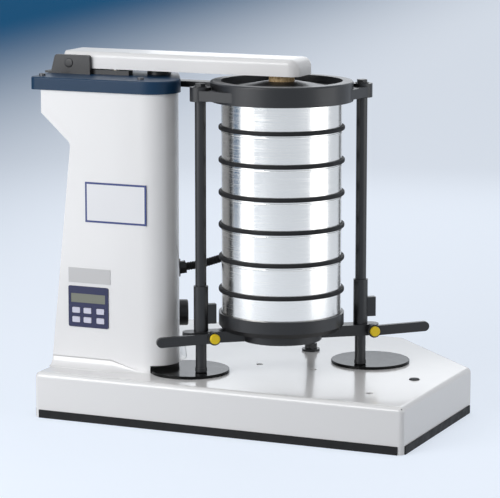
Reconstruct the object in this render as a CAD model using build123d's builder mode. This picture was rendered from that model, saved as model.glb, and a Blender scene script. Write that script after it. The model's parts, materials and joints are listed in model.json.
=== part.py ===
"""Tapping sieve shaker: a base with a drive column, a carriage that a crank swings in a
small circle, and a hammer arm that taps the cork on top of the sieve stack.

The origin is the centre of the base's footprint on the bench. +X runs along the base
towards its free end, +Y runs to the back and +Z is up. Lengths are in millimetres.
"""

import os
from math import atan2, cos, degrees, pi, radians, sin, sqrt, tan

from build123d import *

os.makedirs("parts", exist_ok=True)

# Base
base_length = 680.0
base_depth = 538.0
end_depth = 340.0
base_height = 80.0
sheet = 3.0
base_corner = 8.0
base_edge = 9.0
strip_height = 14.0
strip_thickness = 2.0
strip_gap = 9.0
hold_down_points = [(332.5, 213.6), (435.1, 211.7), (591.2, 78.9)]
plug_point = (623.4, 207.1)
hold_down_radius = 5.5
access_radius = 6.5

# Column
column_front = 66.0
column_depth = 234.0
column_width = 221.5
column_headroom = 57.6
column_nose = 45.0
column_slant = 27.0
neck_drop = 91.0
neck_in = 41.0
brow_drop = 40.0
brow_out = 15.0

# Top casting
casting_thickness = 22.0
casting_lip = 4.0
casting_overhang = 36.0
casting_skin = 5.0

# Carriage and orbit
stack_x = 388.0
stack_y = 180.0
line_angle = 37.4
rod_reach = 142.0
rod_radius = 9.5
crank_throw = 14.0
crank_x = 150.0
idler_x = 60.0
rim_radius = 122.0
rim_bore = 104.0
rim_rise = 22.0
rim_depth = 34.0
ear_rise = 14.0
ear_depth = 22.0
boss_radius = 18.0
disc_spots = [(244.3, 113.5), (502.4, 311.8)]
disc_radius = 69.0
disc_thickness = 5.0
relief_gap = 1.5
relief_height = 13.0

# Sieve stack
frame_radius = 102.8
frame_wall = 1.2
sieve_count = 6
sieve_pitch = 55.9
pan_depth = 47.9
ring_radius = 107.5
ring_thickness = 6.0
pan_bottom = 178.0

# Support yoke and clamp levers
yoke_drop = 40.0
yoke_thickness = 19.0
yoke_half_width = 15.0
sleeve_radius = 12.5
sleeve_length = 98.0
dish_radius = 108.0
dish_lip = 8.0
hub_offset = 17.4
lever_drop = 30.0
lever_length = 100.0
lever_face = 14.0

# Hammer
arm_gap = 10.0
arm_height = 29.0
arm_width = 78.0
arm_wall = 5.0
arm_end = 432.0
pivot_x = 5.0
pivot_rise = 9.0
pivot_radius = 6.0
cork_radius = 22.0

# Drive inside the column
gear_module = 1.75
pinion_teeth = 28
wheel_teeth = 52
gear_face = 12.0
gear_rise = 29.0
cam_bearing_angle = 199.5
shaft_radius = 9.0
motor_radius = 44.0
motor_length = 170.0
motor_plate_top = 306.0
motor_plate_thickness = 10.0
bearing_wall = 3.5
gear_plate_drop = 2.0
gear_plate_thickness = 14.0
cam_radius = 27.0
cam_rise = 6.0
cam_drop = 81.0
lift_radius = 4.0

# Control panel
panel_left = 35.0
panel_width = 77.0
panel_bottom = 152.0
panel_height = 72.0
panel_proud = 2.0
key_columns = (50.0, 72.0, 97.0)
key_rows = (181.5, 165.0)
key_width = 15.0
key_height = 10.0
key_clearance = 0.4
plate_place = (127.7, 372.3)
plate_size = (117.0, 70.0)
label_place = (75.6, 243.0)
label_size = (81.0, 26.0)

# Fits
running = 0.05
clear = 0.3

# Places worked out from the sizes above
left = -base_length / 2
front = -base_depth / 2
right = base_length / 2
back = base_depth / 2
top_ring_height = pan_bottom + pan_depth + (sieve_count - 1) * sieve_pitch
column_top = top_ring_height + column_headroom
neck_height = column_top - neck_drop
brow_height = column_top - brow_drop
rim_top = column_top + rim_rise
rim_bottom = rim_top - rim_depth
ear_top = column_top + ear_rise
ear_bottom = ear_top - ear_depth
yoke_bottom = pan_bottom - yoke_drop
yoke_top = yoke_bottom + yoke_thickness
sleeve_top = yoke_bottom + sleeve_length
dish_top = pan_bottom + dish_lip
lever_height = pan_bottom - lever_drop
arm_bottom = column_top + casting_thickness + arm_gap
pivot_height = arm_bottom + pivot_rise
gear_height = motor_plate_top + gear_rise
gear_plate_top = column_top - gear_plate_drop
cam_base = gear_plate_top - cam_drop
column_y = front + column_front
column_right = left + column_width
column_back = column_y + column_depth
axis_x = left + stack_x
axis_y = front + stack_y
along = Vector(cos(radians(line_angle)), sin(radians(line_angle)), 0)
across = Vector(sin(radians(line_angle)), -cos(radians(line_angle)), 0)
crank_axis = (left + crank_x, axis_y + crank_throw)
idler_axis = (left + idler_x, axis_y + crank_throw)
crank_pin = (crank_axis[0], axis_y)
idler_pin = (idler_axis[0], axis_y)
gear_distance = gear_module * (pinion_teeth + wheel_teeth) / 2
cam_axis = (
    crank_axis[0] + gear_distance * cos(radians(cam_bearing_angle)),
    crank_axis[1] + gear_distance * sin(radians(cam_bearing_angle)),
)
lift_axis = (cam_axis[0] + 3.0, cam_axis[1] - 19.8)
rod_points = [
    (axis_x + side * rod_reach * along.X, axis_y + side * rod_reach * along.Y) for side in (-1, 1)
]
disc_points = [(left + x, front + y) for x, y in disc_spots]
casting_top = column_top + casting_thickness
disc_top = base_height + disc_thickness
arm_front = axis_y - arm_width / 2
arm_back = axis_y + arm_width / 2
ring_heights = [top_ring_height - k * sieve_pitch for k in range(sieve_count)]


def save(part, name):
    """Label a finished piece and write it under its own name."""
    part.label = name
    export_step(part, f"parts/{name}.step")


def base_outline():
    """The five corners of the base, with the back corner of the free end cut off."""
    return [
        (left, front),
        (right, front),
        (right, front + end_depth),
        (right - (base_depth - end_depth), back),
        (left, back),
    ]


def column_left(height):
    """X of the column's slanted left face at a height."""
    share = (height - base_height) / (neck_height - base_height)
    return left + neck_in * share


def column_plan(grow, edge_left):
    """Outline of the column from above: flat front, round nose, slanted right wall."""
    radius = column_nose + grow
    nose_x = column_right - column_nose
    nose_y = column_y + column_nose
    front_y = nose_y - radius
    turn = radians(column_slant)
    tip = (nose_x + radius * cos(turn), nose_y + radius * sin(turn))
    rear_y = column_back + grow
    rear_x = tip[0] - (rear_y - tip[1]) * tan(turn)
    middle = radians((column_slant - 90) / 2)
    with BuildSketch() as plan:
        with BuildLine():
            Line((edge_left, front_y), (nose_x, front_y))
            ThreePointArc(
                (nose_x, front_y),
                (nose_x + radius * cos(middle), nose_y + radius * sin(middle)),
                tip,
            )
            Polyline(tip, (rear_x, rear_y), (edge_left, rear_y), (edge_left, front_y))
        make_face()
    return plan.sketch


def column_solid(inset):
    """Plan crossed with the front profile, drawn in by a wall thickness."""
    with BuildPart() as solid:
        with BuildSketch():
            add(column_plan(-inset, left - brow_out - 5))
        extrude(amount=column_top)
        with BuildSketch(Plane.XZ) as profile:
            with BuildLine():
                Polyline(
                    (left + inset, base_height),
                    (left + neck_in + inset, neck_height),
                    (left - brow_out + inset, brow_height + brow_out / brow_drop * inset),
                    (left - brow_out + inset, column_top),
                    (column_right + 20, column_top),
                    (column_right + 20, base_height),
                    close=True,
                )
            make_face()
            neck = profile.vertices().sort_by_distance((left + neck_in + inset, neck_height))[0]
            fillet(neck, 14)
        extrude(amount=base_depth, both=True, mode=Mode.INTERSECT)
    return solid.part


def gear(teeth, bore, centre, phase):
    """A spur gear with involute flanks drawn as three-point arcs, turned by a phase in degrees."""
    pitch = gear_module * teeth / 2
    tip = pitch + 0.95 * gear_module
    root = pitch - 1.2 * gear_module
    half = (pi / 2 - 0.09) / teeth
    pressure = radians(20)
    base = pitch * cos(pressure)

    def flank(radius, side, turn):
        """A point of the involute flank at a radius, as seen from the gear's centre."""
        grip = max(radius, base)
        unroll = sqrt((grip / base) ** 2 - 1)
        rise = unroll - atan2(unroll, 1)
        angle = turn + side * (half + (tan(pressure) - pressure) - rise)
        return (centre[0] + radius * cos(angle), centre[1] + radius * sin(angle))

    with BuildPart() as piece:
        with BuildSketch(Plane.XY.offset(gear_height)):
            with BuildLine():
                for k in range(teeth):
                    turn = radians(phase) + 2 * pi * k / teeth
                    nextturn = turn + 2 * pi / teeth
                    middle = (pitch + tip) / 2
                    Line(flank(root, -1, turn), flank(base, -1, turn)) if root < base else None
                    ThreePointArc(flank(max(root, base), -1, turn), flank(middle, -1, turn), flank(tip, -1, turn))
                    Line(flank(tip, -1, turn), flank(tip, 1, turn))
                    ThreePointArc(flank(tip, 1, turn), flank(middle, 1, turn), flank(max(root, base), 1, turn))
                    Line(flank(base, 1, turn), flank(root, 1, turn)) if root < base else None
                    Line(flank(root, 1, turn), flank(root, -1, nextturn))
            make_face()
            with Locations(centre):
                Circle(bore, mode=Mode.SUBTRACT)
        extrude(amount=gear_face)
    return piece.part


# Base pan, folded from sheet and open below, with three hold-down holes and one plugged hole
with BuildPart() as base_pan:
    with BuildSketch():
        with BuildLine():
            Polyline(*base_outline(), close=True)
        make_face()
    extrude(amount=base_height)
    fillet(base_pan.edges().filter_by(Axis.Z), base_corner)
    fillet(base_pan.faces().sort_by(Axis.Z)[-1].edges(), base_edge)
    with BuildSketch():
        with BuildLine():
            Polyline(*base_outline(), close=True)
        make_face()
        offset(amount=-sheet, kind=Kind.INTERSECTION)
    extrude(amount=base_height - sheet, mode=Mode.SUBTRACT)
    with BuildSketch(Plane.XY.offset(base_height - sheet)):
        with Locations((left + 75, column_y + 100)):
            RectangleRounded(90, 120, 10)
        with Locations([(left + x, front + y) for x, y in hold_down_points + [plug_point]]):
            Circle(access_radius)
    extrude(amount=sheet, mode=Mode.SUBTRACT)
save(base_pan.part, "base_pan")

# Floor plate that closes the pan from below
with BuildPart() as bottom_plate:
    with BuildSketch():
        with BuildLine():
            Polyline(*base_outline(), close=True)
        make_face()
        offset(amount=-sheet, kind=Kind.INTERSECTION)
        with Locations([(left + x, front + y) for x, y in hold_down_points]):
            Circle(hold_down_radius, mode=Mode.SUBTRACT)
    extrude(amount=sheet)
save(bottom_plate.part, "bottom_plate")

# Edging strips round the foot of the pan, with a gap at each corner
with BuildPart() as edge_strips:
    corners = base_outline()
    for start, end in zip(corners, corners[1:] + corners[:1]):
        run = Vector(*end) - Vector(*start)
        turn = degrees(atan2(run.Y, run.X))
        middle = (Vector(*start) + Vector(*end)) / 2
        outward = Vector(run.Y, -run.X).normalized()
        centre = middle + outward * strip_thickness / 2
        with BuildSketch():
            with Locations(Location((centre.X, centre.Y), turn)):
                Rectangle(run.length - 2 * strip_gap, strip_thickness)
        extrude(amount=strip_height)
save(edge_strips.part, "edge_strips")

# Plug in the fourth hole of the pan
with BuildPart() as hole_plug:
    with BuildSketch(Plane.XY.offset(base_height)):
        with Locations((left + plug_point[0], front + plug_point[1])):
            Circle(access_radius + 2.5)
    extrude(amount=1.6)
    fillet(hole_plug.edges().sort_by(Axis.Z)[-1], 1.0)
    with BuildSketch(Plane.XY.offset(base_height - 6)):
        with Locations((left + plug_point[0], front + plug_point[1])):
            Circle(access_radius - 0.2)
    extrude(amount=6)
save(hole_plug.part, "hole_plug")

# Column housing: plan and front profile crossed, hollow, relieved at the foot over the near disc
rear_opening = (105.0, 400.0)
rear_opening_centre = (left + 72, 330.0)
panel_centre_x = left + panel_left + panel_width / 2
panel_centre_z = panel_bottom + panel_height / 2
relief_radius = disc_radius + relief_gap
with BuildPart() as relief:
    add(column_solid(0))
    with BuildSketch(Plane.XY.offset(base_height)):
        with Locations(disc_points[0]):
            Circle(relief_radius + sheet)
    extrude(amount=relief_height + sheet, mode=Mode.INTERSECT)
with BuildPart() as column_housing:
    add(column_solid(0))
    add(column_solid(sheet), mode=Mode.SUBTRACT)
    add(relief.part)
    with BuildSketch(Plane.XY.offset(base_height)):
        with Locations(disc_points[0]):
            Circle(relief_radius)
    extrude(amount=relief_height, mode=Mode.SUBTRACT)
    with BuildSketch(Plane.XZ.offset(-column_back)):
        with Locations(rear_opening_centre):
            RectangleRounded(*rear_opening, 8)
    extrude(amount=10, both=True, mode=Mode.SUBTRACT)
    with BuildSketch(Plane.XZ.offset(-column_y)):
        with Locations((panel_centre_x, panel_centre_z)):
            Rectangle(panel_width - 12, panel_height - 12)
    extrude(amount=10, both=True, mode=Mode.SUBTRACT)
save(column_housing.part, "column_housing")

# Rear cover over the opening, with a formed edge
with BuildPart() as rear_cover:
    with BuildSketch(Plane.XZ.offset(-column_back)):
        with Locations(rear_opening_centre):
            RectangleRounded(rear_opening[0] + 16, rear_opening[1] + 16, 8)
    extrude(amount=-2)
    chamfer(rear_cover.faces().sort_by(Axis.Y)[-1].edges(), 0.6)
    with BuildSketch(Plane.XZ.offset(-column_back - 2)):
        with Locations((rear_opening_centre[0], rear_opening_centre[1] - 110)):
            with GridLocations(0, 12, 1, 7):
                SlotOverall(70, 4)
    extrude(amount=4, mode=Mode.SUBTRACT)
save(rear_cover.part, "rear_cover")

with BuildPart() as rear_cover_screws:
    with BuildSketch(Plane.XZ.offset(-column_back - 2)):
        with Locations(rear_opening_centre):
            with GridLocations(rear_opening[0] + 6, rear_opening[1] / 2 + 1, 2, 3):
                Circle(3.2)
    extrude(amount=-2)
    chamfer(rear_cover_screws.faces().sort_by(Axis.Y)[-6:].edges(), 0.6)
save(rear_cover_screws.part, "rear_cover_screws")

# Top casting: follows the column's plan with a lip, overhangs to the left, hollow for the crank arm
orbit_clearance = 2.0
eye_radius = 19.0
idler_eye_radius = 15.0
arm_half = 15.0
cavity_half = arm_half + crank_throw + orbit_clearance
with BuildPart() as top_casting:
    with BuildSketch(Plane.XY.offset(column_top)):
        add(column_plan(casting_lip, left - casting_overhang))
    extrude(amount=casting_thickness)
    fillet(top_casting.edges().filter_by(Axis.Z).group_by(Axis.X)[0], 12)
    fillet(top_casting.faces().sort_by(Axis.Z)[-1].edges(), 2.5)
    with BuildSketch(Plane.XY.offset(column_top)):
        with Locations(crank_axis):
            Circle(eye_radius + crank_throw + orbit_clearance)
        with Locations(idler_axis):
            Circle(idler_eye_radius + crank_throw + orbit_clearance)
        with Locations((idler_axis[0], crank_axis[1])):
            Rectangle(column_width, 2 * cavity_half, align=(Align.MIN, Align.CENTER))
    extrude(amount=casting_thickness - casting_skin, mode=Mode.SUBTRACT)
    with BuildSketch(Plane.XY.offset(column_top)):
        with Locations(lift_axis):
            Circle(lift_radius + 3)
    extrude(amount=casting_thickness, mode=Mode.SUBTRACT)
save(top_casting.part, "top_casting")

casting_bolt_points = [(-22.0, 85.0), (-22.0, 280.0), (100.0, 285.0), (165.0, 90.0)]
with BuildPart() as casting_bolts:
    with BuildSketch(Plane.XY.offset(casting_top)):
        with Locations([(left + x, front + y) for x, y in casting_bolt_points]):
            Circle(5.5)
    extrude(amount=4)
    fillet(casting_bolts.edges().group_by(Axis.Z)[-1], 0.8)
    with BuildSketch(Plane.XY.offset(casting_top + 4)):
        with Locations([(left + x, front + y) for x, y in casting_bolt_points]):
            RegularPolygon(2.6, 6)
    extrude(amount=-2.5, mode=Mode.SUBTRACT)
save(casting_bolts.part, "casting_bolts")

# Round bearing cap over the crank
with BuildPart() as bearing_cap:
    with BuildSketch(Plane.XY.offset(casting_top)):
        with Locations(crank_axis):
            Circle(21)
    extrude(amount=6)
    fillet(bearing_cap.edges().group_by(Axis.Z)[-1], 2)
    with BuildSketch(Plane.XY.offset(casting_top + 6)):
        with Locations(crank_axis):
            RegularPolygon(7, 6)
    extrude(amount=2.5)
save(bearing_cap.part, "bearing_cap")

# Bare plates on the front of the column
plate_thickness = 1.0
with BuildPart() as name_plate:
    with BuildSketch(Plane.XZ.offset(-column_y)):
        with Locations((left + plate_place[0], plate_place[1])):
            Rectangle(*plate_size)
    extrude(amount=plate_thickness)
save(name_plate.part, "name_plate")

with BuildPart() as notice_label:
    with BuildSketch(Plane.XZ.offset(-column_y)):
        with Locations((left + label_place[0], label_place[1])):
            Rectangle(*label_size)
    extrude(amount=plate_thickness)
save(notice_label.part, "notice_label")

# Control panel: bezel with a window and six key openings
window_size = (66.4, 16.0)
window_centre = (left + 73, 203.0)
key_points = [(left + x, z) for z in key_rows for x in key_columns]
with BuildPart() as panel_bezel:
    with BuildSketch(Plane.XZ.offset(-column_y)):
        with Locations((panel_centre_x, panel_centre_z)):
            RectangleRounded(panel_width, panel_height, 3)
        with Locations(window_centre):
            Rectangle(*window_size, mode=Mode.SUBTRACT)
        with Locations(*key_points):
            Rectangle(key_width + 2 * key_clearance, key_height + 2 * key_clearance, mode=Mode.SUBTRACT)
    extrude(amount=panel_proud)
    with BuildSketch(Plane.XZ.offset(-column_y)):
        with Locations((panel_centre_x, panel_centre_z)):
            Rectangle(panel_width - 13, panel_height - 13)
        with Locations(window_centre):
            Rectangle(window_size[0] - 4, window_size[1] - 4, mode=Mode.SUBTRACT)
        with Locations(*key_points):
            Rectangle(key_width + 2 * key_clearance, key_height + 2 * key_clearance, mode=Mode.SUBTRACT)
    extrude(amount=-3)
save(panel_bezel.part, "panel_bezel")

with BuildPart() as display_window:
    with BuildSketch(Plane.XZ.offset(-column_y)):
        with Locations(window_centre):
            Rectangle(window_size[0] - 0.2, window_size[1] - 0.2)
    extrude(amount=panel_proud - 0.6)
save(display_window.part, "display_window")

for number, point in enumerate(key_points, start=1):
    with BuildPart() as key:
        with BuildSketch(Plane.XZ.offset(-column_y - 2.6)):
            with Locations(point):
                RectangleRounded(key_width, key_height, 1.5)
        extrude(amount=panel_proud + 0.8 + 2.6)
        fillet(key.faces().sort_by(Axis.Y)[0].edges(), 0.5)
    save(key.part, f"panel_key_{number}")

# Slide discs on the base top, one under each rod
with BuildPart() as slide_discs:
    with BuildSketch(Plane.XY.offset(base_height)):
        with Locations(*disc_points):
            Circle(disc_radius)
    extrude(amount=disc_thickness)
    fillet(slide_discs.edges().group_by(Axis.Z)[-1], 1.2)
save(slide_discs.part, "slide_discs")

# Pivot bracket: base plate, two cheeks and the guide block of the lift rod
bracket_cheek = 8.0
cheek_gap = 0.6
bracket_left = left - 42
bracket_rise = 14.0
with BuildPart() as pivot_bracket:
    with BuildSketch(Plane.XY.offset(casting_top)):
        with Locations((bracket_left, axis_y)):
            Rectangle(
                88, arm_width + 2 * (bracket_cheek + cheek_gap), align=(Align.MIN, Align.CENTER)
            )
    extrude(amount=4)
    for start in (arm_front - cheek_gap, arm_back + cheek_gap + bracket_cheek):
        with BuildSketch(Plane.XZ.offset(-start)) as cheek:
            with BuildLine():
                Polyline(
                    (left + pivot_x - 36, casting_top),
                    (left + pivot_x - 27, pivot_height + bracket_rise),
                    (left + pivot_x + 40, pivot_height + bracket_rise),
                    (left + pivot_x + 41, casting_top),
                    close=True,
                )
            make_face()
            fillet(cheek.vertices().group_by(Axis.Z)[-1], 5)
        extrude(amount=bracket_cheek)
    with BuildSketch(Plane.XY.offset(casting_top)):
        with Locations((left + 40, lift_axis[1])):
            Rectangle(76, 16, align=(Align.MIN, Align.CENTER))
    extrude(amount=8)
    with BuildSketch(Plane.XY.offset(casting_top)):
        with Locations(lift_axis):
            Circle(lift_radius + 3)
    extrude(amount=8, mode=Mode.SUBTRACT)
    with BuildSketch(Plane.XZ.offset(-axis_y)):
        with Locations((left + pivot_x, pivot_height)):
            Circle(pivot_radius + 0.02)
    extrude(amount=arm_width, both=True, mode=Mode.SUBTRACT)
save(pivot_bracket.part, "pivot_bracket")

pin_half = arm_width / 2 + cheek_gap + bracket_cheek
with BuildPart() as pivot_pin:
    with BuildSketch(Plane.XZ.offset(-axis_y)):
        with Locations((left + pivot_x, pivot_height)):
            Circle(pivot_radius)
    extrude(amount=pin_half, both=True)
save(pivot_pin.part, "pivot_pin")

tail_reach = 13.0
channel_length = 342.0
# Hammer arm: inverted channel with rounded shoulders, a closed striking end and two pivot tubes
with BuildPart() as hammer_arm:
    with BuildSketch(Plane.YZ.offset(left + pivot_x - tail_reach)) as section:
        with Locations((axis_y, arm_bottom)):
            Rectangle(arm_width, arm_height, align=(Align.CENTER, Align.MIN))
        fillet(section.vertices().group_by(Axis.Y)[-1], 9)
    extrude(amount=arm_end - pivot_x + tail_reach)
    tips = hammer_arm.edges().filter_by(Axis.Z).group_by(Axis.X)[-1]
    fillet(tips, 18)
    tail = hammer_arm.faces().sort_by(Axis.X)[0].edges().group_by(Axis.Z)[0]
    fillet(tail, 8)
    with BuildSketch(Plane.XY.offset(arm_bottom)):
        with Locations((left + pivot_x - tail_reach, axis_y)):
            Rectangle(channel_length, arm_width - 2 * arm_wall, align=(Align.MIN, Align.CENTER))
    extrude(amount=arm_height - arm_wall, mode=Mode.SUBTRACT)
    with BuildSketch(Plane.XZ.offset(-axis_y)):
        with Locations((left + pivot_x, pivot_height)):
            Circle(pivot_radius + 4)
    extrude(amount=arm_width / 2 - 1, both=True)
    with BuildSketch(Plane.XZ.offset(-axis_y)):
        with Locations((left + pivot_x, pivot_height)):
            Circle(pivot_radius + running)
    extrude(amount=arm_width, both=True, mode=Mode.SUBTRACT)
save(hammer_arm.part, "hammer_arm")

# Shelves inside the column
with BuildPart() as motor_plate:
    with BuildSketch(Plane.XY.offset(motor_plate_top - motor_plate_thickness)):
        add(column_plan(-sheet - 0.2, column_left(motor_plate_top) + sheet + 0.6))
        with Locations(cam_axis):
            Circle(shaft_radius + bearing_wall, mode=Mode.SUBTRACT)
        with Locations(crank_axis):
            Circle(shaft_radius + bearing_wall, mode=Mode.SUBTRACT)
    extrude(amount=motor_plate_thickness)
save(motor_plate.part, "motor_plate")

with BuildPart() as gear_plate:
    with BuildSketch(Plane.XY.offset(gear_plate_top - gear_plate_thickness)):
        add(column_plan(-sheet - 0.2, left - brow_out + sheet + 0.2))
        with Locations(cam_axis, crank_axis, idler_axis):
            Circle(shaft_radius + bearing_wall, mode=Mode.SUBTRACT)
        with Locations(lift_axis):
            Circle(lift_radius + 3, mode=Mode.SUBTRACT)
    extrude(amount=gear_plate_thickness)
save(gear_plate.part, "gear_plate")

with BuildPart() as shaft_bearings:
    for height, thickness, centres in (
        (motor_plate_top - motor_plate_thickness, motor_plate_thickness, [crank_axis]),
        (gear_plate_top - gear_plate_thickness, gear_plate_thickness, [cam_axis, crank_axis, idler_axis]),
    ):
        with BuildSketch(Plane.XY.offset(height)):
            with Locations(*centres):
                Circle(shaft_radius + bearing_wall - 0.02)
                Circle(shaft_radius + running, mode=Mode.SUBTRACT)
        extrude(amount=thickness)
save(shaft_bearings.part, "shaft_bearings")

with BuildPart() as lift_rod_bushing:
    with BuildSketch(Plane.XY.offset(gear_plate_top - gear_plate_thickness)):
        with Locations(lift_axis):
            Circle(lift_radius + 2.98)
            Circle(lift_radius + running, mode=Mode.SUBTRACT)
    extrude(amount=gear_plate_thickness)
    with BuildSketch(Plane.XY.offset(gear_plate_top)):
        with Locations(lift_axis):
            Circle(lift_radius + 2.98)
            Circle(lift_radius + running, mode=Mode.SUBTRACT)
    extrude(amount=casting_top + 8 - gear_plate_top)
save(lift_rod_bushing.part, "lift_rod_bushing")

# Gearmotor hung under its shelf
motor_shaft_depth = 22.0
with BuildPart() as gearmotor:
    with BuildSketch(Plane.XY.offset(motor_plate_top - motor_plate_thickness)):
        with Locations(cam_axis):
            Circle(motor_radius)
    extrude(amount=-30)
    with BuildSketch(Plane.XY.offset(motor_plate_top - motor_plate_thickness - 30)):
        with Locations(cam_axis):
            Circle(motor_radius - 4)
    extrude(amount=-(motor_length - 30))
    with BuildSketch(Plane.XY.offset(motor_plate_top - motor_plate_thickness)):
        with Locations(cam_axis):
            Circle(shaft_radius + 1)
    extrude(amount=-motor_shaft_depth - 2, mode=Mode.SUBTRACT)
save(gearmotor.part, "gearmotor")

# Crankshaft: lower journal, web and throw pin
web_height = column_top + 0.5
web_thickness = 3.5
pin_radius = 9.0
arm_plate_bottom = web_height + web_thickness + 0.5
arm_plate_thickness = 10.0
with BuildPart() as crankshaft:
    with BuildSketch(Plane.XY.offset(motor_plate_top - motor_plate_thickness)):
        with Locations(crank_axis):
            Circle(shaft_radius)
    extrude(amount=web_height - motor_plate_top + motor_plate_thickness)
    with BuildSketch(Plane.XY.offset(web_height)):
        with Locations(crank_axis):
            Circle(crank_throw + pin_radius + 3)
    extrude(amount=web_thickness)
    with BuildSketch(Plane.XY.offset(web_height + web_thickness)):
        with Locations(crank_pin):
            Circle(pin_radius)
    extrude(amount=arm_plate_thickness + 1.5)
save(crankshaft.part, "crankshaft")

idler_pin_radius = 7.0
with BuildPart() as idler_crank:
    with BuildSketch(Plane.XY.offset(gear_plate_top - gear_plate_thickness)):
        with Locations(idler_axis):
            Circle(shaft_radius)
    extrude(amount=web_height - gear_plate_top + gear_plate_thickness)
    with BuildSketch(Plane.XY.offset(web_height)):
        with Locations(idler_axis):
            Circle(crank_throw + idler_pin_radius + 1)
    extrude(amount=web_thickness)
    with BuildSketch(Plane.XY.offset(web_height + web_thickness)):
        with Locations(idler_pin):
            Circle(idler_pin_radius)
    extrude(amount=arm_plate_thickness + 1.5)
save(idler_crank.part, "idler_crank")

# Gear pair that slows the cam: the small gear on the crankshaft, the wheel on the cam shaft
mesh_angle = degrees(atan2(crank_axis[1] - cam_axis[1], crank_axis[0] - cam_axis[0]))
crank_pinion = gear(pinion_teeth, shaft_radius, crank_axis, mesh_angle + 180)
save(crank_pinion, "crank_pinion")
cam_gear = gear(wheel_teeth, shaft_radius, cam_axis, mesh_angle + 180.0 / wheel_teeth)
save(cam_gear, "cam_gear")

with BuildPart() as cam_shaft:
    with BuildSketch(Plane.XY.offset(motor_plate_top - motor_plate_thickness - motor_shaft_depth)):
        with Locations(cam_axis):
            Circle(shaft_radius)
    extrude(amount=gear_plate_top - motor_plate_top + motor_plate_thickness + motor_shaft_depth)
save(cam_shaft.part, "cam_shaft")

# Face cam with two ramps that rise and drop away
with BuildPart() as lift_cam:
    with BuildSketch(Plane.XY.offset(cam_base)):
        with Locations(cam_axis):
            Circle(cam_radius)
            Circle(shaft_radius, mode=Mode.SUBTRACT)
    extrude(amount=14)
    with BuildSketch(Plane.XY.offset(cam_base + 14)):
        with Locations(Location(cam_axis, -90)):
            Circle(cam_radius)
            Circle(shaft_radius, mode=Mode.SUBTRACT)
            with Locations((0, -cam_radius)):
                Rectangle(2 * cam_radius, 2 * cam_radius, align=(Align.MAX, Align.CENTER), mode=Mode.SUBTRACT)
    extrude(amount=cam_rise)
save(lift_cam.part, "lift_cam")

# Lift rod with its follower foot
follower_gap = 0.3
lift_gap = 6.6
rod_start = cam_base + 14 + cam_rise + follower_gap
with BuildPart() as lift_rod:
    with BuildSketch(Plane.XY.offset(rod_start)):
        with Locations(lift_axis):
            Circle(7)
    extrude(amount=12)
    fillet(lift_rod.edges().group_by(Axis.Z)[0], 3)
    with BuildSketch(Plane.XY.offset(rod_start + 12)):
        with Locations(lift_axis):
            Circle(lift_radius)
    extrude(amount=arm_bottom + arm_height - arm_wall - lift_gap - rod_start - 12)
save(lift_rod.part, "lift_rod")

# Upper carrying plate: rim, two ears joined to it by tangent webs, and the drive arm
ear_points = rod_points
with BuildPart() as upper_carrying_plate:
    with BuildSketch(Plane.XY.offset(ear_bottom)):
        with BuildLine(mode=Mode.PRIVATE) as web:
            CenterArc((axis_x, axis_y), rim_radius - 2, 0, 360)
            for point in ear_points:
                CenterArc(point, boss_radius - 2, 0, 360)
        make_hull(web.edges())
    extrude(amount=ear_top - ear_bottom - 5)
    with BuildSketch(Plane.XY.offset(rim_bottom)):
        with Locations((axis_x, axis_y)):
            Circle(rim_radius)
    extrude(amount=rim_top - rim_bottom)
    fillet(upper_carrying_plate.edges().group_by(Axis.Z)[-1], 3)
    with BuildSketch(Plane.XY.offset(ear_bottom - 2)):
        with Locations(*ear_points):
            Circle(boss_radius)
    extrude(amount=ear_top - ear_bottom + 2)
    with BuildSketch(Plane.XY.offset(arm_plate_bottom)):
        with Locations((idler_pin[0], axis_y)):
            Rectangle(axis_x - idler_pin[0], 2 * arm_half, align=(Align.MIN, Align.CENTER))
        with Locations(crank_pin):
            Circle(eye_radius)
        with Locations(idler_pin):
            Circle(idler_eye_radius)
    extrude(amount=arm_plate_thickness)
    with BuildSketch(Plane.XY.offset(rim_bottom)):
        with Locations((axis_x, axis_y)):
            Circle(rim_bore)
        with Locations(*ear_points):
            Circle(rod_radius + 0.02)
        with Locations(crank_pin):
            Circle(pin_radius + running)
        with Locations(idler_pin):
            Circle(idler_pin_radius + running)
    extrude(amount=rim_top - rim_bottom, mode=Mode.SUBTRACT)
save(upper_carrying_plate.part, "upper_carrying_plate")

# Cover plate: a shallow cone inside the rim with a seat for the cork
stack_top = ring_heights[0] + sieve_pitch - ring_thickness / 2
cover_bottom = stack_top + clear
hub_top = rim_top - 1
seat_bottom = hub_top - 6
cover_edge = rim_top - 13
cover_step = 5.0
with BuildPart() as cover_plate:
    with BuildSketch(Plane.XZ.offset(-axis_y)):
        with BuildLine():
            Polyline(
                (axis_x, seat_bottom),
                (axis_x + cork_radius + 0.1, seat_bottom),
                (axis_x + cork_radius + 0.1, hub_top),
                (axis_x + cork_radius + cover_step, hub_top),
                (axis_x + rim_bore - 12, cover_edge),
                (axis_x + rim_bore, cover_edge),
                (axis_x + rim_bore, cover_bottom + 4),
                (axis_x + rim_bore - 1, cover_bottom),
                (axis_x + rim_bore - 16, cover_bottom),
                (axis_x + rim_bore - 16, cover_edge - cover_step),
                (axis_x + cork_radius - 2, seat_bottom - cover_step),
                (axis_x, seat_bottom - cover_step),
                close=True,
            )
        make_face()
    revolve(axis=Axis((axis_x, axis_y, 0), (0, 0, 1)))
save(cover_plate.part, "cover_plate")

with BuildPart() as cork:
    with BuildSketch(Plane.XY.offset(seat_bottom)):
        with Locations((axis_x, axis_y)):
            Circle(cork_radius)
    extrude(amount=arm_bottom - clear - seat_bottom)
    fillet(cork.edges().group_by(Axis.Z)[-1], 1.5)
save(cork.part, "cork")

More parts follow.
